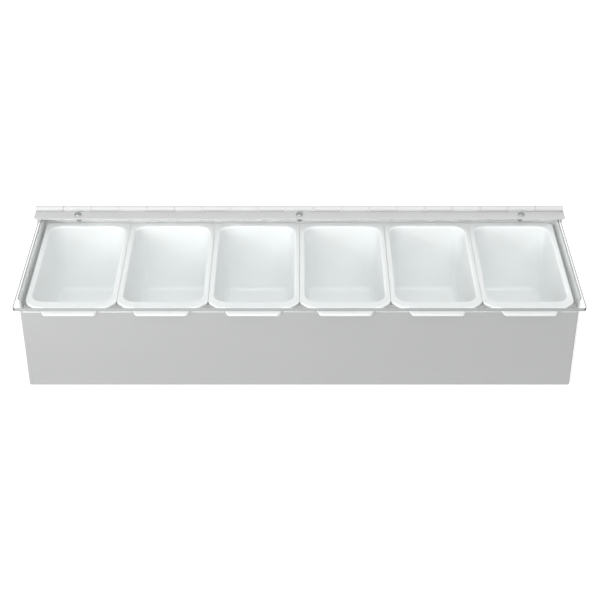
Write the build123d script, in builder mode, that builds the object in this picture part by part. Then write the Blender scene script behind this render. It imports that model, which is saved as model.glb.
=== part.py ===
from build123d import *
import os

# Garnish tray: a folded steel box with six lift-out cups and a clear hinged lid.
# X runs along the width, +Y points to the rear, +Z up. The origin is on the counter, under the
# middle of the whole object.

# Driving dimensions of the steel box, millimetres
box_width = 480.0
box_depth = 144.0
box_height = 90.0
front_drop = 10.5
sheet = 1.0
corner_radius = 3.0
base_radius = 2.0
fold_radius = 1.4
fold_drop = 6.0

# Rail inside the rear wall
rail_height = 12.0
rail_end_gap = 4.0
rail_fold_radius = 0.9

# Lift-out cups
cup_count = 6
cup_end_clearance = 3.2
cup_side_gap = 0.25
cup_front_gap = 0.5
cup_lift_gap = 0.6
cup_clearance = 0.5
rim_thickness = 2.0
rim_front_cut = 9.0
rim_front_blend = 7.0
rim_rear_radius = 4.0
rim_edge_radius = 0.4
rim_side_width = 4.6
rim_front_width = 9.8
rim_rear_width = 6.8
mouth_edge_radius = 1.4
cup_wall = 1.8
cup_floor_gap = 10.7
cup_draft = 3.0
cup_corner_radius = 11.0
cup_base_radius = 5.0

# Pull tab of a cup
tab_root_width = 49.0
tab_tip_width = 44.0
tab_reach = 7.6
tab_corner_radius = 3.0
tab_root_overlap = 3.0

# Clear lid
lid_side_overhang = 1.5
lid_thickness = 3.0
lid_front_overhang = 15.6
lid_seat_gap = 0.3
lid_rear_gap = 0.5
lid_corner_radius = 3.0
lid_edge_radius = 0.4

# Continuous hinge
hinge_end_overhang = 6.0
hinge_sheet = 0.9
leaf_width = 16.0
leaf_corner_radius = 3.0
pin_radius = 1.5
pin_clearance = 0.06
pin_chamfer = 0.3
knuckle_count = 19
knuckle_gap = 0.4
leaf_clearance = 0.4

# Rivets and backing washers
rivet_end_inset = 34.0
rivet_radius = 1.6
rivet_fit = 0.05
rivet_head_radius = 3.2
rivet_head_height = 1.3
rivet_dome_radius = 1.1
rivet_tail_radius = 2.4
rivet_tail_height = 1.0
rivet_edge_radius = 0.3
lid_rivet_inset = 8.3
box_rivet_inset = 11.0
washer_radius = 3.5
washer_thickness = 0.8

# Places worked out from the sizes
bore_radius = pin_radius + pin_clearance
barrel_radius = bore_radius + hinge_sheet
total_depth = lid_front_overhang + box_depth + 2 * barrel_radius
front_y = lid_front_overhang - total_depth / 2
rear_y = front_y + box_depth
box_mid_y = (front_y + rear_y) / 2
front_height = box_height - front_drop
rear_inner_y = rear_y - sheet
overrun = box_height
front_span = box_width - 2 * corner_radius
rail_length = box_width - 2 * (sheet + rail_end_gap)
cup_pitch = (box_width - 2 * (sheet + cup_end_clearance)) / cup_count
lid_width = box_width + 2 * lid_side_overhang
hinge_length = box_width + 2 * hinge_end_overhang
rivet_spacing = box_width / 2 - rivet_end_inset

rim_bottom_z = front_height
rim_top_z = rim_bottom_z + rim_thickness
rim_width = cup_pitch - cup_side_gap
rim_front_y = front_y + cup_front_gap
# the rims clear the rivet tails on the rear wall when a cup is lifted
rim_rear_y = rear_inner_y - rivet_tail_height - cup_lift_gap
rim_depth = rim_rear_y - rim_front_y
rim_mid_y = (rim_front_y + rim_rear_y) / 2
mouth_width = rim_width - 2 * rim_side_width
mouth_front_y = rim_front_y + rim_front_width
mouth_rear_y = rim_rear_y - rim_rear_width
mouth_depth = mouth_rear_y - mouth_front_y
mouth_mid_y = (mouth_front_y + mouth_rear_y) / 2
cup_outer_depth = rim_bottom_z - sheet - cup_floor_gap
cup_depth = cup_outer_depth + rim_thickness - cup_wall
front_ledge_depth = mouth_front_y - cup_wall - cup_clearance - front_y
rail_depth = rear_inner_y - (mouth_rear_y + cup_wall + cup_clearance)

lid_bottom_z = box_height + lid_seat_gap
lid_top_z = lid_bottom_z + lid_thickness
lid_front_y = front_y - lid_front_overhang
lid_rear_y = rear_y - lid_rear_gap
lid_depth = lid_rear_y - lid_front_y
lid_mid_y = (lid_front_y + lid_rear_y) / 2

pin_y = rear_y + barrel_radius
pin_z = lid_top_z + barrel_radius
knuckle_pitch = hinge_length / knuckle_count
rivet_hole_radius = rivet_radius + rivet_fit
lid_leaf_front_y = pin_y - leaf_width
box_leaf_bottom_z = pin_z - leaf_width
lid_rivet_y = pin_y - lid_rivet_inset
box_rivet_z = pin_z - box_rivet_inset
rivet_places = {"left": -rivet_spacing, "centre": 0, "right": rivet_spacing}

os.makedirs("parts", exist_ok=True)

# Open sheet box. The front wall is lower than the other three, and its top edge is folded
# inwards as the ledge that carries the cups' front rims.
with BuildPart() as box_shell:
    with BuildSketch(Plane.XY):
        with Locations((0, box_mid_y)):
            RectangleRounded(box_width, box_depth, corner_radius)
    extrude(amount=box_height)
    fillet(box_shell.faces().sort_by(Axis.Z)[0].edges(), base_radius)
    offset(amount=-sheet, openings=box_shell.faces().sort_by(Axis.Z)[-1], kind=Kind.INTERSECTION)
    # window above the front wall, between the two front corners
    with BuildSketch(Plane.XZ.offset(-front_y)):
        with Locations((0, front_height - fold_drop)):
            Rectangle(front_span, overrun, align=(Align.CENTER, Align.MIN))
    extrude(amount=-sheet, mode=Mode.SUBTRACT)
    # folded top of the front wall
    with BuildSketch(Plane.YZ) as fold:
        with Locations((front_y, front_height)):
            Rectangle(sheet, fold_drop, align=(Align.MIN, Align.MAX))
            Rectangle(front_ledge_depth, sheet, align=(Align.MIN, Align.MAX))
        fillet(fold.vertices().sort_by(Axis.X)[:2].sort_by(Axis.Y)[-1], fold_radius)
    extrude(amount=front_span / 2, both=True)
    # holes for the rivets of the upright hinge leaf
    with Locations(Plane.XZ.offset(-rear_y)):
        with Locations(*[(x, box_rivet_z) for x in rivet_places.values()]):
            Hole(rivet_hole_radius, depth=sheet)
box_shell.part.label = "box_shell"
export_step(box_shell.part, "parts/box_shell.step")

# Angle strip inside the rear wall, level with the front ledge, for the cups' rear rims.
with BuildPart() as rear_support_rail:
    with BuildSketch(Plane.YZ) as angle:
        with Locations((rear_inner_y, front_height)):
            Rectangle(sheet, rail_height, align=(Align.MAX, Align.MAX))
            Rectangle(rail_depth, sheet, align=(Align.MAX, Align.MAX))
        fillet(angle.vertices().sort_by(Axis.X)[-2:].sort_by(Axis.Y)[-1], rail_fold_radius)
    extrude(amount=rail_length / 2, both=True)
rear_support_rail.part.label = "rear_support_rail"
export_step(rear_support_rail.part, "parts/rear_support_rail.step")


def lift_out_cup(center_x):
    """Thin tapered cup with a flat rim all round and a trapezoid pull tab over the front wall."""
    with BuildPart() as hollow:
        with BuildSketch(Plane.XY.offset(rim_top_z)):
            with Locations((center_x, mouth_mid_y)):
                RectangleRounded(mouth_width, mouth_depth, cup_corner_radius)
        extrude(amount=cup_depth, dir=(0, 0, -1), taper=cup_draft)
        fillet(hollow.faces().sort_by(Axis.Z)[0].edges(), cup_base_radius)
    with BuildPart() as cup:
        # outer wall, tapering down from the rim
        with BuildSketch(Plane.XY.offset(rim_bottom_z)):
            with Locations((center_x, mouth_mid_y)):
                RectangleRounded(
                    mouth_width + 2 * cup_wall,
                    mouth_depth + 2 * cup_wall,
                    cup_corner_radius + cup_wall,
                )
        extrude(amount=cup_outer_depth, dir=(0, 0, -1), taper=cup_draft)
        fillet(cup.faces().sort_by(Axis.Z)[0].edges(), cup_base_radius + cup_wall)
        # rim, nearly square at the rear and cut slantwise at both front corners
        with BuildSketch(Plane.XY.offset(rim_bottom_z)) as rim:
            with Locations((center_x, rim_mid_y)):
                Rectangle(rim_width, rim_depth)
            fillet(rim.vertices().group_by(Axis.Y)[-1], rim_rear_radius)
            chamfer(rim.vertices().group_by(Axis.Y)[0], rim_front_cut)
            cut_ends = rim.vertices().group_by(Axis.Y)[:2]
            fillet(cut_ends[0] + cut_ends[1], rim_front_blend)
        extrude(amount=rim_thickness)
        # pull tab
        with BuildSketch(Plane.XY.offset(rim_bottom_z)) as tab:
            with BuildLine():
                Polyline(
                    (center_x - tab_root_width / 2, rim_front_y + tab_root_overlap),
                    (center_x - tab_root_width / 2, rim_front_y),
                    (center_x - tab_tip_width / 2, rim_front_y - tab_reach),
                    (center_x + tab_tip_width / 2, rim_front_y - tab_reach),
                    (center_x + tab_root_width / 2, rim_front_y),
                    (center_x + tab_root_width / 2, rim_front_y + tab_root_overlap),
                    close=True,
                )
            make_face()
            fillet(tab.vertices().group_by(Axis.Y)[0], tab_corner_radius)
        extrude(amount=rim_thickness)
        fillet(cup.faces().sort_by(Axis.Z)[-1].edges(), rim_edge_radius)
        add(hollow.part, mode=Mode.SUBTRACT)
        fillet(cup.faces().sort_by(Axis.Z)[-1].inner_wires().edges(), mouth_edge_radius)
    return cup.part


for number in range(cup_count):
    cup_x = (number - (cup_count - 1) / 2) * cup_pitch
    insert = lift_out_cup(cup_x)
    insert.label = f"insert_{number + 1}"
    export_step(insert, f"parts/insert_{number + 1}.step")

# Clear sheet that lies level on the side and rear walls and reaches past the front wall.
with BuildPart() as lid_panel:
    with BuildSketch(Plane.XY.offset(lid_bottom_z)):
        with Locations((0, lid_mid_y)):
            RectangleRounded(lid_width, lid_depth, lid_corner_radius)
        with Locations(*[(x, lid_rivet_y) for x in rivet_places.values()]):
            Circle(rivet_hole_radius, mode=Mode.SUBTRACT)
    extrude(amount=lid_thickness)
    fillet(lid_panel.faces().sort_by(Axis.Z)[-1].outer_wire().edges(), lid_edge_radius)
    fillet(lid_panel.faces().sort_by(Axis.Z)[0].outer_wire().edges(), lid_edge_radius)
lid_panel.part.label = "lid_panel"
export_step(lid_panel.part, "parts/lid_panel.step")


def knuckle_centres(first):
    """Middles of every second knuckle along the hinge, from the given one: 0 or 1."""
    return [
        (index + 1 / 2) * knuckle_pitch - hinge_length / 2
        for index in range(first, knuckle_count, 2)
    ]


# Leaf on the lid, with the knuckles at both ends of the hinge.
with BuildPart() as hinge_lid_leaf:
    with BuildSketch(Plane.XY.offset(lid_top_z)) as lid_leaf_plate:
        with Locations((0, lid_leaf_front_y)):
            Rectangle(hinge_length, leaf_width, align=(Align.CENTER, Align.MIN))
        fillet(lid_leaf_plate.vertices().group_by(Axis.Y)[0], leaf_corner_radius)
        with Locations(*[(x, pin_y) for x in knuckle_centres(1)]):
            Rectangle(
                knuckle_pitch + knuckle_gap,
                2 * (barrel_radius + leaf_clearance),
                mode=Mode.SUBTRACT,
            )
        with Locations(*[(x, lid_rivet_y) for x in rivet_places.values()]):
            Circle(rivet_hole_radius, mode=Mode.SUBTRACT)
    extrude(amount=hinge_sheet)
    for x in knuckle_centres(0):
        with BuildSketch(Plane.YZ.offset(x)):
            with Locations((pin_y, pin_z)):
                Circle(barrel_radius)
        extrude(amount=(knuckle_pitch - knuckle_gap) / 2, both=True)
    with BuildSketch(Plane.YZ):
        with Locations((pin_y, pin_z)):
            Circle(bore_radius)
    extrude(amount=hinge_length, both=True, mode=Mode.SUBTRACT)
hinge_lid_leaf.part.label = "hinge_lid_leaf"
export_step(hinge_lid_leaf.part, "parts/hinge_lid_leaf.step")

# Leaf on the rear wall, with the knuckles in between.
with BuildPart() as hinge_box_leaf:
    with BuildSketch(Plane.XZ.offset(-rear_y)) as box_leaf_plate:
        with Locations((0, box_leaf_bottom_z)):
            Rectangle(hinge_length, leaf_width, align=(Align.CENTER, Align.MIN))
        fillet(box_leaf_plate.vertices().group_by(Axis.Y)[0], leaf_corner_radius)
        with Locations(*[(x, pin_z) for x in knuckle_centres(0)]):
            Rectangle(
                knuckle_pitch + knuckle_gap,
                2 * (barrel_radius + leaf_clearance),
                mode=Mode.SUBTRACT,
            )
        with Locations(*[(x, box_rivet_z) for x in rivet_places.values()]):
            Circle(rivet_hole_radius, mode=Mode.SUBTRACT)
    extrude(amount=-hinge_sheet)
    for x in knuckle_centres(1):
        with BuildSketch(Plane.YZ.offset(x)):
            with Locations((pin_y, pin_z)):
                Circle(barrel_radius)
        extrude(amount=(knuckle_pitch - knuckle_gap) / 2, both=True)
    with BuildSketch(Plane.YZ):
        with Locations((pin_y, pin_z)):
            Circle(bore_radius)
    extrude(amount=hinge_length, both=True, mode=Mode.SUBTRACT)
hinge_box_leaf.part.label = "hinge_box_leaf"
export_step(hinge_box_leaf.part, "parts/hinge_box_leaf.step")

# Pin through all knuckles.
with BuildPart() as hinge_pin:
    with BuildSketch(Plane.YZ):
        with Locations((pin_y, pin_z)):
            Circle(pin_radius)
    extrude(amount=hinge_length / 2, both=True)
    chamfer(hinge_pin.edges().filter_by(GeomType.CIRCLE), pin_chamfer)
hinge_pin.part.label = "hinge_pin"
export_step(hinge_pin.part, "parts/hinge_pin.step")


def rivet(plane, grip):
    """Domed rivet: its head stands on the plane, its shank and tail go down through the grip."""
    with BuildPart() as fastener:
        with BuildSketch(plane):
            Circle(rivet_head_radius)
        extrude(amount=rivet_head_height)
        fillet(
            fastener.edges().filter_by(GeomType.CIRCLE).sort_by(Axis(plane.origin, plane.z_dir))[-1],
            rivet_dome_radius,
        )
        with BuildSketch(plane):
            Circle(rivet_radius)
        extrude(amount=-grip)
        with BuildSketch(plane.offset(-grip)):
            Circle(rivet_tail_radius)
        extrude(amount=-rivet_tail_height)
        fillet(
            fastener.edges().filter_by(GeomType.CIRCLE).sort_by(Axis(plane.origin, plane.z_dir))[0],
            rivet_edge_radius,
        )
    return fastener.part


def backing_washer(center_x):
    """Flat ring under the clear sheet that spreads the load of a rivet's tail."""
    with BuildPart() as washer:
        with BuildSketch(Plane.XY.offset(lid_bottom_z)):
            with Locations((center_x, lid_rivet_y)):
                Circle(washer_radius)
                Circle(rivet_hole_radius, mode=Mode.SUBTRACT)
        extrude(amount=-washer_thickness)
    return washer.part


for side, rivet_x in rivet_places.items():
    lid_rivet_top = Plane((rivet_x, lid_rivet_y, lid_top_z + hinge_sheet))
    lid_rivet = rivet(lid_rivet_top, hinge_sheet + lid_thickness + washer_thickness)
    lid_rivet.label = f"lid_rivet_{side}"
    export_step(lid_rivet, f"parts/lid_rivet_{side}.step")

    washer = backing_washer(rivet_x)
    washer.label = f"washer_{side}"
    export_step(washer, f"parts/washer_{side}.step")

    box_rivet_top = Plane((rivet_x, rear_y + hinge_sheet, box_rivet_z), z_dir=(0, 1, 0))
    box_rivet = rivet(box_rivet_top, hinge_sheet + sheet)
    box_rivet.label = f"box_rivet_{side}"
    export_step(box_rivet, f"parts/box_rivet_{side}.step")
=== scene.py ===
"""Finishes of the garnish tray: brushed steel box and hinge, white cups, clear lid, white studio."""

import math

import bmesh
import bpy
from mathutils import Matrix, Vector


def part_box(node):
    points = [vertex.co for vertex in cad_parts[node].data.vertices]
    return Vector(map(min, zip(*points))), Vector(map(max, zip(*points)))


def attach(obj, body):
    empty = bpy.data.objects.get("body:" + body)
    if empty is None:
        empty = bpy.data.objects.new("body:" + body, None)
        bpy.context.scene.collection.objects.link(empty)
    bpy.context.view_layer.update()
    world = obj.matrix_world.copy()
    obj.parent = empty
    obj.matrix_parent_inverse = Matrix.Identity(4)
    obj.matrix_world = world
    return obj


bl_info = {
    "name": "Garnish Tray",
    "version": (1, 0, 0),
    "blender": (4, 5, 0),
    "location": "View3D > Sidebar > Garnish Tray",
    "description": "Finishes a steel garnish tray with cups and a clear lid, in a white studio",
    "category": "Object",
}

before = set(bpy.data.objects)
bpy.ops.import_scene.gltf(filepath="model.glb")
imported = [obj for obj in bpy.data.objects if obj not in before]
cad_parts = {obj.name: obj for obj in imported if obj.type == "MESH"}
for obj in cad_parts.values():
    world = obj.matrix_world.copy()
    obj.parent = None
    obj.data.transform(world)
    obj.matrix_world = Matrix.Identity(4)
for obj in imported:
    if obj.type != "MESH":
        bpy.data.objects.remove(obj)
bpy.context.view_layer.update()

MM = 0.001

# Nodes of the frame by what they are made of
BOX_NODES = ("box_shell", "rear_support_rail")
LEAF_NODES = ("hinge_lid_leaf", "hinge_box_leaf")
SIDES = ("left", "centre", "right")
RIVET_NODES = tuple(f"{kind}_rivet_{side}" for kind in ("lid", "box") for side in SIDES)
WASHER_NODES = tuple(f"washer_{side}" for side in SIDES)
CUP_NODES = tuple(f"insert_{number}" for number in range(1, 7))

# Places that follow from the frame
BOX_LOW, BOX_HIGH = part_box("box_shell")
RAIL_LOW, RAIL_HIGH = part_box("rear_support_rail")
LID_LOW, LID_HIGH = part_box("lid_panel")
PIN_LOW, PIN_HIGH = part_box("hinge_pin")
LEAF_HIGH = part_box("hinge_lid_leaf")[1]

# Grain of the steel, in waves per metre across and along it
GRAIN_ACROSS = 1500.0
GRAIN_ALONG = 9.0
GRAIN_DETAIL = 5.0
GRAIN_DEPTH = 0.012 * MM
GRAIN_SHARE = 0.05
GRAIN_BUMP = 0.22
GRAIN_SHEEN = 0.07

# Faint clouding of the steel, in waves per metre and as a share of the colour
CLOUD_SCALE = 14.0
CLOUD_DETAIL = 3.0
CLOUD_SHARE = 0.035
CLOUD_DARKNESS = 0.5

# Depth below the outer faces at which the inside of the box begins
SHEET_MIDDLE = 0.5 * MM

# The rolled barrel and the sheared edges of the hinge are duller than its flat strip
BARREL_MARGIN = 0.1 * MM
DULL_ROUGHNESS = 0.85

# A face whose normal rises less than this is upright, and one that rises more looks up
RISE_LIMIT = 0.5

# Moulded plastic of the cups
SKIN_SCALE = 700.0
SKIN_DETAIL = 2.0
SKIN_DEPTH = 0.02 * MM
SKIN_BUMP = 0.12
FLOW_SCALE = 24.0
FLOW_DETAIL = 4.0
FLOW_SHARE = 0.02
FLOW_SHEEN = 0.05
SCATTER_DEPTH = 3.5 * MM
SCATTER_SHARE = 0.8

# Clear sheet
SCRATCH_ACROSS = 900.0
SCRATCH_ALONG = 22.0
CUT_EDGE_WIDTH = 0.6 * MM
CUT_EDGE_ROUGHNESS = 0.45
SAW_MARK_SHARE = 0.06
ACRYLIC_IOR = 1.49

# Spot welds of the rear rail, seen on the outside of the rear wall
WELD_COUNT = 7
WELD_SPACING = 70.0 * MM
WELD_RING_RADIUS = 2.0 * MM
WELD_FOOT_RADIUS = 2.7 * MM
WELD_DISH_RADIUS = 1.3 * MM
WELD_RING_HEIGHT = 0.14 * MM
WELD_DISH_HEIGHT = 0.03 * MM
WELD_SINK = 0.05 * MM
WELD_STEPS = 28
WELD_MERGE = 0.001 * MM

# Pale floor: reflected share of light between its darkest and lightest spots, and its lift to white
FLOOR_DARK = (0.41, 0.41, 0.41)
FLOOR_PALE = (0.43, 0.43, 0.43)
FLOOR_SCALE = 60.0
FLOOR_DETAIL = 2.0
FLOOR_ROUGHNESS = 0.9
FLOOR_LIFT = 0.75
FLOOR_CELLS = 8

# Soft lights: width and height, and where they stand
FRONT_LIGHT_SIZE = (2.6, 0.9)
FRONT_LIGHT_PLACE = (-0.1, -1.2, 1.5)
LOW_LIGHT_SIZE = (0.4, 0.4)
LOW_LIGHT_PLACE = (-0.62, -0.85, 0.3)

WHITE = (1.0, 1.0, 1.0, 1.0)


class SteelSettings(bpy.types.PropertyGroup):
    """Colours and sheen of the steel parts."""

    box_colour: bpy.props.FloatVectorProperty(
        name="Box steel",
        description="Reflected colour of the folded box",
        subtype="COLOR",
        size=3,
        min=0.0,
        max=1.0,
        default=(0.42, 0.425, 0.422),
    )
    hinge_colour: bpy.props.FloatVectorProperty(
        name="Hinge steel",
        description="Reflected colour of the rolled hinge strip",
        subtype="COLOR",
        size=3,
        min=0.0,
        max=1.0,
        default=(0.65, 0.655, 0.652),
    )
    # Inside colour: a smoother mill finish, set far lighter than real steel as painted light that
    # brightens the shaded inner walls and the strip under the hinge leaf.
    inside_colour_with_painted_light: bpy.props.FloatVectorProperty(
        name="Box inside",
        description="Reflected colour of the unbrushed mill finish inside the box",
        subtype="COLOR",
        size=3,
        min=0.0,
        max=1.0,
        default=(0.94, 0.946, 0.944),
    )
    inside_roughness: bpy.props.FloatProperty(
        name="Inside roughness",
        description="Mean roughness of the mill finish inside the box",
        subtype="FACTOR",
        min=0.0,
        max=1.0,
        default=0.50,
    )
    rivet_colour: bpy.props.FloatVectorProperty(
        name="Rivet steel",
        description="Reflected colour of rivets and washers",
        subtype="COLOR",
        size=3,
        min=0.0,
        max=1.0,
        default=(0.32, 0.325, 0.325),
    )
    box_roughness: bpy.props.FloatProperty(
        name="Box roughness",
        description="Mean roughness of the satin box",
        subtype="FACTOR",
        min=0.0,
        max=1.0,
        default=0.54,
    )
    hinge_roughness: bpy.props.FloatProperty(
        name="Hinge roughness",
        description="Mean roughness of the hinge strip",
        subtype="FACTOR",
        min=0.0,
        max=1.0,
        default=0.46,
    )
    rivet_roughness: bpy.props.FloatProperty(
        name="Rivet roughness",
        description="Mean roughness of the rivet heads",
        subtype="FACTOR",
        min=0.0,
        max=1.0,
        default=0.34,
    )


class CupSettings(bpy.types.PropertyGroup):
    """Look of the moulded cups."""

    colour: bpy.props.FloatVectorProperty(
        name="Plastic",
        description="Body colour of the cups",
        subtype="COLOR",
        size=3,
        min=0.0,
        max=1.0,
        default=(0.875, 0.90, 0.90),
    )
    roughness: bpy.props.FloatProperty(
        name="Roughness",
        description="Mean roughness of the moulded skin",
        subtype="FACTOR",
        min=0.0,
        max=1.0,
        default=0.34,
    )


class LidSettings(bpy.types.PropertyGroup):
    """Look of the clear lid."""

    tint: bpy.props.FloatVectorProperty(
        name="Tint",
        description="Light that the sheet lets through",
        subtype="COLOR",
        size=3,
        min=0.0,
        max=1.0,
        default=(0.99, 0.997, 0.995),
    )
    edge_tint: bpy.props.FloatVectorProperty(
        name="Edge tint",
        description="Deeper tint seen in the cut edges",
        subtype="COLOR",
        size=3,
        min=0.0,
        max=1.0,
        default=(0.36, 0.377, 0.374),
    )
    roughness: bpy.props.FloatProperty(
        name="Haze",
        description="Roughness of the handled surface",
        subtype="FACTOR",
        min=0.0,
        max=1.0,
        default=0.03,
    )


class StageSettings(bpy.types.PropertyGroup):
    """Studio and viewpoint."""

    view_elevation: bpy.props.FloatProperty(
        name="Camera elevation",
        description="Angle of the view above the horizon",
        subtype="ANGLE",
        default=math.radians(33.94),
    )
    view_distance: bpy.props.FloatProperty(
        name="Camera distance",
        description="Distance from the camera to the point that it looks at",
        unit="LENGTH",
        subtype="DISTANCE",
        default=1.2095,
    )
    view_rise: bpy.props.FloatProperty(
        name="View rise",
        description="How far the view's middle lies above the front wall's top edge",
        unit="LENGTH",
        subtype="DISTANCE",
        default=9.82 * MM,
    )
    view_side: bpy.props.FloatProperty(
        name="View side step",
        description="How far the camera stands to the right of the middle",
        unit="LENGTH",
        subtype="DISTANCE",
        default=0.4 * MM,
    )
    lens: bpy.props.FloatProperty(
        name="Lens",
        description="Focal length in millimetres on a 36 mm sensor",
        unit="CAMERA",
        default=84.95,
    )
    floor_size: bpy.props.FloatProperty(
        name="Floor size",
        description="Length of the floor's sides",
        unit="LENGTH",
        subtype="DISTANCE",
        default=12.0,
    )
    sky: bpy.props.FloatProperty(
        name="Sky light",
        description="Strength of the even light from all round",
        min=0.0,
        max=2.0,
        default=0.50,
    )
    low_light: bpy.props.FloatProperty(
        name="Low light",
        description="Power in watts of the low light at the left that grades the front wall",
        unit="POWER",
        default=5.6,
    )
    front_light: bpy.props.FloatProperty(
        name="Front light",
        description="Power in watts of the large soft light in front of the tray",
        unit="POWER",
        default=26.0,
    )


def feed(material, target, value):
    """Joins a socket to an input, or sets the input to a plain value."""
    if isinstance(value, bpy.types.NodeSocket):
        material.node_tree.links.new(value, target)
    else:
        target.default_value = value


def add_node(material, kind, **values):
    """A new node, with named inputs set to values or joined to the sockets given."""
    new = material.node_tree.nodes.new(kind)
    for name, value in values.items():
        feed(material, new.inputs[name.replace("_", " ")], value)
    return new


def math_node(material, operation, first, second):
    """The result of one sum, product or the like of two numbers or sockets."""
    new = material.node_tree.nodes.new("ShaderNodeMath")
    new.operation = operation
    for target, value in zip(new.inputs, (first, second)):
        feed(material, target, value)
    return new.outputs[0]


def mix_colours(material, share, first, second):
    """The colour between two colours or sockets at a share from 0 to 1."""
    new = material.node_tree.nodes.new("ShaderNodeMix")
    new.data_type = "RGBA"
    feed(material, new.inputs[0], share)
    for target, value in ((new.inputs[6], first), (new.inputs[7], second)):
        if not isinstance(value, bpy.types.NodeSocket):
            value = (*value, 1.0)
        feed(material, target, value)
    return new.outputs[2]


def mix_numbers(material, share, first, second):
    """The number between two numbers or sockets at a share from 0 to 1."""
    new = material.node_tree.nodes.new("ShaderNodeMix")
    for target, value in zip((new.inputs[0], new.inputs[2], new.inputs[3]), (share, first, second)):
        feed(material, target, value)
    return new.outputs[0]


def mix_shaders(material, share, first, second):
    """A node that blends two shader nodes by a share from 0 to 1."""
    blend = material.node_tree.nodes.new("ShaderNodeMixShader")
    for target, source in zip(blend.inputs, (share, first.outputs[0], second.outputs[0])):
        material.node_tree.links.new(source, target)
    return blend


def remap(material, value, low, high):
    """A value from 0 to 1 spread between two numbers."""
    new = add_node(material, "ShaderNodeMapRange", Value=value)
    new.inputs["To Min"].default_value = low
    new.inputs["To Max"].default_value = high
    return new.outputs["Result"]


def stretched_noise(material, place, scale, detail):
    """Noise drawn out along the axes whose scale is small."""
    mapping = add_node(material, "ShaderNodeMapping", Vector=place, Scale=scale)
    noise = add_node(
        material, "ShaderNodeTexNoise", Vector=mapping.outputs[0], Scale=1.0, Detail=detail
    )
    return noise.outputs["Fac"]


def start_material(name):
    """An empty material with its output and the object's own coordinates."""
    material = bpy.data.materials.new(name)
    material.use_nodes = True
    material.node_tree.nodes.clear()
    place = material.node_tree.nodes.new("ShaderNodeTexCoord")
    output = material.node_tree.nodes.new("ShaderNodeOutputMaterial")
    return material, place, output


def scaled(colour, share):
    """A colour made lighter or darker by a share."""
    return tuple(min(1.0, channel * share) for channel in colour)


def inside_the_box(material, place, facing):
    """1 on the inner faces of the box, 0 outside and on the ledge that is folded in; it places the
    lighter inside colour, which is painted light.
    """
    where = add_node(material, "ShaderNodeSeparateXYZ", Vector=place.outputs["Object"])
    half_width = (BOX_HIGH.x - BOX_LOW.x) / 2
    middle_y = (BOX_HIGH.y + BOX_LOW.y) / 2
    half_depth = (BOX_HIGH.y - BOX_LOW.y) / 2
    side_place = math_node(material, "ABSOLUTE", where.outputs["X"], 0.0)
    depth_place = math_node(material, "SUBTRACT", where.outputs["Y"], middle_y)
    depth_place = math_node(material, "ABSOLUTE", depth_place, 0.0)
    in_width = math_node(material, "LESS_THAN", side_place, half_width - SHEET_MIDDLE)
    in_depth = math_node(material, "LESS_THAN", depth_place, half_depth - SHEET_MIDDLE)
    above_floor = math_node(material, "GREATER_THAN", where.outputs["Z"], SHEET_MIDDLE)
    below_top = math_node(material, "LESS_THAN", where.outputs["Z"], BOX_HIGH.z - SHEET_MIDDLE)
    looks_up = math_node(material, "GREATER_THAN", facing.outputs["Z"], RISE_LIMIT)
    high_up = math_node(material, "GREATER_THAN", where.outputs["Z"], BOX_HIGH.z / 2)
    in_front = math_node(material, "LESS_THAN", where.outputs["Y"], middle_y)
    front_edge = math_node(material, "MULTIPLY", high_up, in_front)
    ledge = math_node(material, "MULTIPLY", looks_up, front_edge)
    inside = math_node(material, "SUBTRACT", 1.0, ledge)
    for limit in (in_width, in_depth, above_floor, below_top):
        inside = math_node(material, "MULTIPLY", inside, limit)
    return inside


def dull_parts_of_the_hinge(material, place, facing):
    """1 on the rolled barrel and on the sheared edges of the upper leaf, 0 elsewhere."""
    where = add_node(material, "ShaderNodeSeparateXYZ", Vector=place.outputs["Object"])
    axis_y = (PIN_LOW.y + PIN_HIGH.y) / 2
    axis_z = (PIN_LOW.z + PIN_HIGH.z) / 2
    barrel_radius = LEAF_HIGH.z - axis_z + BARREL_MARGIN
    behind = math_node(material, "SUBTRACT", where.outputs["Y"], axis_y)
    above = math_node(material, "SUBTRACT", where.outputs["Z"], axis_z)
    reach = math_node(
        material,
        "ADD",
        math_node(material, "MULTIPLY", behind, behind),
        math_node(material, "MULTIPLY", above, above),
    )
    on_barrel = math_node(material, "LESS_THAN", reach, barrel_radius**2)
    tilt = math_node(material, "ABSOLUTE", facing.outputs["Z"], 0.0)
    upright = math_node(material, "LESS_THAN", tilt, RISE_LIMIT)
    on_lid = math_node(material, "GREATER_THAN", where.outputs["Z"], LID_HIGH.z)
    sheared = math_node(material, "MULTIPLY", upright, on_lid)
    return math_node(material, "MAXIMUM", on_barrel, sheared)


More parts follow.
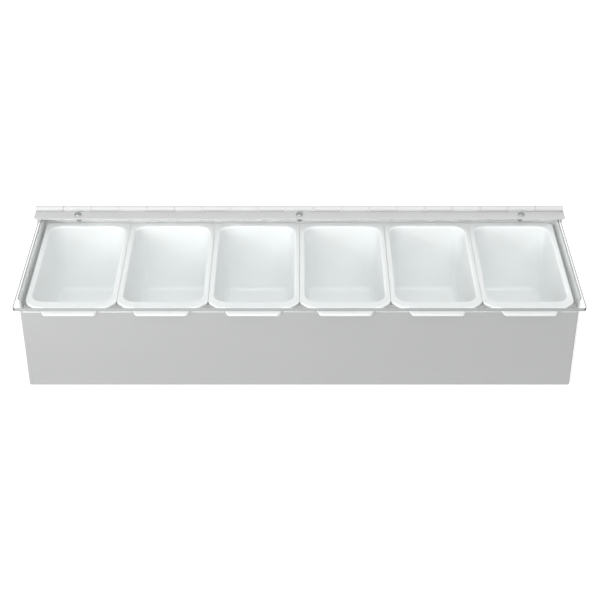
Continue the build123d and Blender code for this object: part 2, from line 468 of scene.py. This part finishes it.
def brushed_steel(
    name, colour, roughness, inside_colour_with_painted_light=None, inside_roughness=None, hinge=False
):
    """Satin stainless: grain along the width, faint clouding, and other finishes where asked, among
    them a lighter inside whose colour is part mill finish and part painted light.
    """
    material, place, output = start_material(name)
    spot = place.outputs["Object"]
    on_walls = stretched_noise(
        material, spot, (GRAIN_ALONG, GRAIN_ALONG, GRAIN_ACROSS), GRAIN_DETAIL
    )
    on_flats = stretched_noise(
        material, spot, (GRAIN_ALONG, GRAIN_ACROSS, GRAIN_ALONG), GRAIN_DETAIL
    )
    facing = add_node(material, "ShaderNodeSeparateXYZ", Vector=place.outputs["Normal"])
    flatness = math_node(material, "ABSOLUTE", facing.outputs["Z"], 0.0)
    steepness = math_node(material, "SUBTRACT", 1.0, flatness)
    wall_part = math_node(material, "MULTIPLY", on_walls, steepness)
    flat_part = math_node(material, "MULTIPLY", on_flats, flatness)
    grain = math_node(material, "ADD", wall_part, flat_part)
    clouds = add_node(
        material, "ShaderNodeTexNoise", Vector=spot, Scale=CLOUD_SCALE, Detail=CLOUD_DETAIL
    )
    grained = mix_colours(
        material, grain, scaled(colour, 1 - GRAIN_SHARE), scaled(colour, 1 + GRAIN_SHARE)
    )
    clouded = mix_colours(
        material,
        remap(material, clouds.outputs["Fac"], 0.0, CLOUD_SHARE),
        grained,
        scaled(colour, CLOUD_DARKNESS),
    )
    bump = add_node(
        material, "ShaderNodeBump", Strength=GRAIN_BUMP, Distance=GRAIN_DEPTH, Height=grain
    )
    sheen = remap(material, grain, roughness - GRAIN_SHEEN, roughness + GRAIN_SHEEN)
    if inside_colour_with_painted_light is not None:
        inside = inside_the_box(material, place, facing)
        # The inside's mill colour is painted light: it is lighter than real steel so that the shaded
        # inside reads bright.
        milled_with_painted_light = mix_colours(
            material,
            clouds.outputs["Fac"],
            scaled(inside_colour_with_painted_light, 1 - CLOUD_SHARE),
            scaled(inside_colour_with_painted_light, 1 + CLOUD_SHARE),
        )
        clouded = mix_colours(material, inside, clouded, milled_with_painted_light)
        sheen = mix_numbers(material, inside, sheen, inside_roughness)
    if hinge:
        dull = dull_parts_of_the_hinge(material, place, facing)
        sheen = mix_numbers(material, dull, sheen, DULL_ROUGHNESS)
    shader = add_node(
        material,
        "ShaderNodeBsdfPrincipled",
        Base_Color=clouded,
        Metallic=1.0,
        Roughness=sheen,
        Normal=bump.outputs[0],
    )
    material.node_tree.links.new(shader.outputs[0], output.inputs["Surface"])
    return material


def moulded_plastic(name, colour, roughness):
    """White translucent plastic with a soft skin and faint flow marks."""
    material, place, output = start_material(name)
    spot = place.outputs["Object"]
    flow = add_node(
        material, "ShaderNodeTexNoise", Vector=spot, Scale=FLOW_SCALE, Detail=FLOW_DETAIL
    )
    skin = add_node(
        material, "ShaderNodeTexNoise", Vector=spot, Scale=SKIN_SCALE, Detail=SKIN_DETAIL
    )
    body = mix_colours(
        material, flow.outputs["Fac"], scaled(colour, 1 - FLOW_SHARE), scaled(colour, 1 + FLOW_SHARE)
    )
    bump = add_node(
        material,
        "ShaderNodeBump",
        Strength=SKIN_BUMP,
        Distance=SKIN_DEPTH,
        Height=skin.outputs["Fac"],
    )
    sheen = remap(material, flow.outputs["Fac"], roughness - FLOW_SHEEN, roughness + FLOW_SHEEN)
    shader = add_node(
        material,
        "ShaderNodeBsdfPrincipled",
        Base_Color=body,
        Roughness=sheen,
        Subsurface_Weight=SCATTER_SHARE,
        Subsurface_Scale=SCATTER_DEPTH,
        Normal=bump.outputs[0],
    )
    shader.inputs["Subsurface Radius"].default_value = (1.0, 1.0, 1.0)
    material.node_tree.links.new(shader.outputs[0], output.inputs["Surface"])
    return material


def clear_sheet(name, tint, edge_tint, roughness):
    """Clear acrylic: polished faces with hairline scratches, and deeper-coloured cut edges."""
    material, place, output = start_material(name)
    spot = place.outputs["Object"]
    where = add_node(material, "ShaderNodeSeparateXYZ", Vector=spot)
    half_width = (LID_HIGH.x - LID_LOW.x) / 2
    middle_y = (LID_HIGH.y + LID_LOW.y) / 2
    half_depth = (LID_HIGH.y - LID_LOW.y) / 2
    side_distance = math_node(
        material,
        "SUBTRACT",
        half_width,
        math_node(material, "ABSOLUTE", where.outputs["X"], 0.0),
    )
    depth_place = math_node(material, "SUBTRACT", where.outputs["Y"], middle_y)
    depth_distance = math_node(
        material, "SUBTRACT", half_depth, math_node(material, "ABSOLUTE", depth_place, 0.0)
    )
    inset = math_node(material, "MINIMUM", side_distance, depth_distance)
    inner = add_node(material, "ShaderNodeMapRange", Value=inset)
    inner.inputs["From Max"].default_value = CUT_EDGE_WIDTH
    scratches = stretched_noise(
        material, spot, (SCRATCH_ALONG, SCRATCH_ACROSS, SCRATCH_ALONG), GRAIN_DETAIL
    )
    clear = add_node(
        material,
        "ShaderNodeBsdfPrincipled",
        Base_Color=(*tint, 1.0),
        Roughness=remap(material, scratches, 0.0, 2 * roughness),
        IOR=ACRYLIC_IOR,
        Transmission_Weight=1.0,
    )
    passing = add_node(material, "ShaderNodeBsdfTransparent", Color=(*tint, 1.0))
    rays = material.node_tree.nodes.new("ShaderNodeLightPath")
    lets_through = math_node(
        material, "MAXIMUM", rays.outputs["Is Shadow Ray"], rays.outputs["Is Diffuse Ray"]
    )
    pane = mix_shaders(material, lets_through, clear, passing)
    sawn_colour = mix_colours(
        material,
        scratches,
        scaled(edge_tint, 1 - SAW_MARK_SHARE),
        scaled(edge_tint, 1 + SAW_MARK_SHARE),
    )
    sawn = add_node(
        material,
        "ShaderNodeBsdfPrincipled",
        Base_Color=sawn_colour,
        Roughness=CUT_EDGE_ROUGHNESS,
        IOR=ACRYLIC_IOR,
    )
    whole = mix_shaders(material, inner.outputs["Result"], sawn, pane)
    material.node_tree.links.new(whole.outputs[0], output.inputs["Surface"])
    return material


def dress(nodes, material):
    """Puts one material on CAD nodes."""
    for name in nodes:
        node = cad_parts[name]
        node.data.materials.clear()
        node.data.materials.append(material)


def finished_object(name, mesh, material):
    """A new object from a bmesh, smooth shaded, at the origin."""
    data = bpy.data.meshes.new(name)
    mesh.to_mesh(data)
    mesh.free()
    data.materials.append(material)
    for face in data.polygons:
        face.use_smooth = True
    thing = bpy.data.objects.new(name, data)
    bpy.context.scene.collection.objects.link(thing)
    return thing


def weld_mark(mesh, place):
    """A dished disc with a low raised ring, turned from its profile and set on the rear wall."""
    profile = (
        (0.0, WELD_DISH_HEIGHT),
        (WELD_DISH_RADIUS, WELD_DISH_HEIGHT),
        (WELD_RING_RADIUS, WELD_RING_HEIGHT),
        (WELD_FOOT_RADIUS, -WELD_SINK),
        (0.0, -WELD_SINK),
    )
    earlier = set(mesh.verts)
    points = [mesh.verts.new((radius, 0.0, height)) for radius, height in profile]
    edges = [mesh.edges.new(pair) for pair in zip(points, points[1:])]
    bmesh.ops.spin(
        mesh,
        geom=points + edges,
        cent=(0.0, 0.0, 0.0),
        axis=(0.0, 0.0, 1.0),
        angle=math.tau,
        steps=WELD_STEPS,
        use_merge=True,
    )
    made = [vertex for vertex in mesh.verts if vertex not in earlier]
    turn = Matrix.Translation(place) @ Matrix.Rotation(-math.pi / 2, 4, "X")
    bmesh.ops.transform(mesh, matrix=turn, verts=made)


class GARNISH_OT_box(bpy.types.Operator):
    """Gives the folded box and its rear rail a brushed steel finish"""

    bl_idname = "garnish.box"
    bl_label = "Finish the box"

    def execute(self, context):
        steel = context.scene.garnish_steel
        material = brushed_steel(
            "box_steel",
            steel.box_colour[:],
            steel.box_roughness,
            steel.inside_colour_with_painted_light[:],
            steel.inside_roughness,
        )
        dress(BOX_NODES, material)
        return {"FINISHED"}


class GARNISH_OT_welds(bpy.types.Operator):
    """Adds the spot welds that hold the rear rail, as seen on the outside of the rear wall"""

    bl_idname = "garnish.welds"
    bl_label = "Add the spot welds"

    def execute(self, context):
        mesh = bmesh.new()
        height = (RAIL_LOW.z + RAIL_HIGH.z) / 2
        for number in range(WELD_COUNT):
            side = (number - (WELD_COUNT - 1) / 2) * WELD_SPACING
            weld_mark(mesh, Vector((side, BOX_HIGH.y, height)))
        bmesh.ops.remove_doubles(mesh, verts=mesh.verts, dist=WELD_MERGE)
        bmesh.ops.recalc_face_normals(mesh, faces=mesh.faces)
        marks = finished_object("spot_welds", mesh, bpy.data.materials["box_steel"])
        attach(marks, "box")
        return {"FINISHED"}


class GARNISH_OT_hinge(bpy.types.Operator):
    """Finishes the hinge, its pin, the rivets and the washers"""

    bl_idname = "garnish.hinge"
    bl_label = "Finish the hinge"

    def execute(self, context):
        steel = context.scene.garnish_steel
        strip = brushed_steel(
            "hinge_steel", steel.hinge_colour[:], steel.hinge_roughness, hinge=True
        )
        bright = brushed_steel("rivet_steel", steel.rivet_colour[:], steel.rivet_roughness)
        dress(LEAF_NODES, strip)
        dress(("hinge_pin",) + RIVET_NODES + WASHER_NODES, bright)
        return {"FINISHED"}


class GARNISH_OT_cups(bpy.types.Operator):
    """Gives the lift-out cups their translucent white plastic"""

    bl_idname = "garnish.cups"
    bl_label = "Finish the cups"

    def execute(self, context):
        look = context.scene.garnish_cups
        dress(CUP_NODES, moulded_plastic("insert_plastic", look.colour[:], look.roughness))
        return {"FINISHED"}


class GARNISH_OT_lid(bpy.types.Operator):
    """Gives the lid its clear acrylic"""

    bl_idname = "garnish.lid"
    bl_label = "Finish the lid"

    def execute(self, context):
        look = context.scene.garnish_lid
        material = clear_sheet("clear_lid", look.tint[:], look.edge_tint[:], look.roughness)
        dress(("lid_panel",), material)
        return {"FINISHED"}


def white_studio(stage):
    """An even sky that reads white to the camera, in gloss and through clear plastic."""
    world = bpy.data.worlds.new("studio")
    world.use_nodes = True
    tree = world.node_tree
    tree.nodes.clear()
    output = tree.nodes.new("ShaderNodeOutputWorld")
    lighting = tree.nodes.new("ShaderNodeBackground")
    lighting.inputs["Strength"].default_value = stage.sky
    seen = tree.nodes.new("ShaderNodeBackground")
    seen.inputs["Color"].default_value = WHITE
    lighting.inputs["Color"].default_value = WHITE
    rays = tree.nodes.new("ShaderNodeLightPath")
    glossy_or_through = tree.nodes.new("ShaderNodeMath")
    glossy_or_through.operation = "MAXIMUM"
    any_sight = tree.nodes.new("ShaderNodeMath")
    any_sight.operation = "MAXIMUM"
    mix = tree.nodes.new("ShaderNodeMixShader")
    tree.links.new(rays.outputs["Is Glossy Ray"], glossy_or_through.inputs[0])
    tree.links.new(rays.outputs["Is Transmission Ray"], glossy_or_through.inputs[1])
    tree.links.new(rays.outputs["Is Camera Ray"], any_sight.inputs[0])
    tree.links.new(glossy_or_through.outputs[0], any_sight.inputs[1])
    tree.links.new(any_sight.outputs[0], mix.inputs[0])
    tree.links.new(lighting.outputs[0], mix.inputs[1])
    tree.links.new(seen.outputs[0], mix.inputs[2])
    tree.links.new(mix.outputs[0], output.inputs["Surface"])
    bpy.context.scene.world = world


def pale_floor(size):
    """A pale matt floor that keeps the object's shadow and is lifted to white where it is seen."""
    material, place, output = start_material("studio_floor")
    tree = material.node_tree
    tooth = add_node(
        material,
        "ShaderNodeTexNoise",
        Vector=place.outputs["Object"],
        Scale=FLOOR_SCALE,
        Detail=FLOOR_DETAIL,
    )
    colour = mix_colours(material, tooth.outputs["Fac"], FLOOR_DARK, FLOOR_PALE)
    matt = add_node(
        material, "ShaderNodeBsdfPrincipled", Base_Color=colour, Roughness=FLOOR_ROUGHNESS
    )
    matt.inputs["Specular IOR Level"].default_value = 0.0
    rays = tree.nodes.new("ShaderNodeLightPath")
    sight = rays.outputs["Is Camera Ray"]
    for kind in ("Is Glossy Ray", "Is Transmission Ray"):
        sight = math_node(material, "MAXIMUM", sight, rays.outputs[kind])
    strength = math_node(material, "MULTIPLY", sight, FLOOR_LIFT)
    lift = add_node(material, "ShaderNodeEmission", Strength=strength)
    total = tree.nodes.new("ShaderNodeAddShader")
    tree.links.new(matt.outputs[0], total.inputs[0])
    tree.links.new(lift.outputs[0], total.inputs[1])
    tree.links.new(total.outputs[0], output.inputs["Surface"])
    mesh = bmesh.new()
    bmesh.ops.create_grid(
        mesh, x_segments=FLOOR_CELLS, y_segments=FLOOR_CELLS, size=size / 2
    )
    floor = finished_object("floor", mesh, material)


def soft_light(name, power, size, place, target):
    """A soft rectangular light aimed at a point, unseen by the camera."""
    data = bpy.data.lights.new(name, "AREA")
    data.shape = "RECTANGLE"
    data.size, data.size_y = size
    data.energy = power
    lamp = bpy.data.objects.new(name, data)
    lamp.location = place
    lamp.rotation_euler = (Vector(target) - Vector(place)).to_track_quat("-Z", "Y").to_euler()
    lamp.visible_camera = False
    bpy.context.scene.collection.objects.link(lamp)


class GARNISH_OT_stage(bpy.types.Operator):
    """Sets up the floor, the sky, the soft lights and the camera"""

    bl_idname = "garnish.stage"
    bl_label = "Set up the studio"

    def execute(self, context):
        stage = context.scene.garnish_stage
        white_studio(stage)
        pale_floor(stage.floor_size)
        middle = Vector((0.0, 0.0, BOX_HIGH.z / 2))
        soft_light(
            "front_light", stage.front_light, FRONT_LIGHT_SIZE, FRONT_LIGHT_PLACE, middle
        )
        soft_light("low_light", stage.low_light, LOW_LIGHT_SIZE, LOW_LIGHT_PLACE, middle)

        front_edge = Vector((0.0, BOX_LOW.y, RAIL_HIGH.z))
        rise = stage.view_elevation
        upward = Vector((0.0, math.sin(rise), math.cos(rise)))
        backward = Vector((0.0, -math.cos(rise), math.sin(rise)))
        sideways = Vector((stage.view_side, 0.0, 0.0))
        target = front_edge + upward * stage.view_rise + sideways
        data = bpy.data.cameras.new("camera")
        data.lens = stage.lens
        camera = bpy.data.objects.new("camera", data)
        camera.location = target + backward * stage.view_distance
        camera.rotation_euler = (math.pi / 2 - rise, 0.0, 0.0)
        context.scene.collection.objects.link(camera)
        context.scene.camera = camera
        context.scene.view_settings.view_transform = "Standard"
        return {"FINISHED"}


class GARNISH_PT_panel(bpy.types.Panel):
    """Lists the tray's finishes and the studio"""

    bl_idname = "GARNISH_PT_panel"
    bl_label = "Garnish Tray"
    bl_space_type = "VIEW_3D"
    bl_region_type = "UI"
    bl_category = "Garnish Tray"

    def draw(self, context):
        scene = context.scene
        groups = (
            (scene.garnish_steel, ("garnish.box", "garnish.welds", "garnish.hinge")),
            (scene.garnish_cups, ("garnish.cups",)),
            (scene.garnish_lid, ("garnish.lid",)),
            (scene.garnish_stage, ("garnish.stage",)),
        )
        for settings, actions in groups:
            section = self.layout.box()
            for name in settings.bl_rna.properties.keys():
                if name not in {"rna_type", "name"}:
                    section.prop(settings, name)
            for action in actions:
                section.operator(action)


CLASSES = (
    SteelSettings,
    CupSettings,
    LidSettings,
    StageSettings,
    GARNISH_OT_box,
    GARNISH_OT_welds,
    GARNISH_OT_hinge,
    GARNISH_OT_cups,
    GARNISH_OT_lid,
    GARNISH_OT_stage,
    GARNISH_PT_panel,
)


def register():
    for item in CLASSES:
        bpy.utils.register_class(item)
    bpy.types.Scene.garnish_steel = bpy.props.PointerProperty(type=SteelSettings)
    bpy.types.Scene.garnish_cups = bpy.props.PointerProperty(type=CupSettings)
    bpy.types.Scene.garnish_lid = bpy.props.PointerProperty(type=LidSettings)
    bpy.types.Scene.garnish_stage = bpy.props.PointerProperty(type=StageSettings)


def unregister():
    del bpy.types.Scene.garnish_stage
    del bpy.types.Scene.garnish_lid
    del bpy.types.Scene.garnish_cups
    del bpy.types.Scene.garnish_steel
    for item in reversed(CLASSES):
        bpy.utils.unregister_class(item)


def main():
    register()
    bpy.ops.garnish.box()
    bpy.ops.garnish.welds()
    bpy.ops.garnish.hinge()
    bpy.ops.garnish.cups()
    bpy.ops.garnish.lid()
    bpy.ops.garnish.stage()


if __name__ == "__main__":
    main()
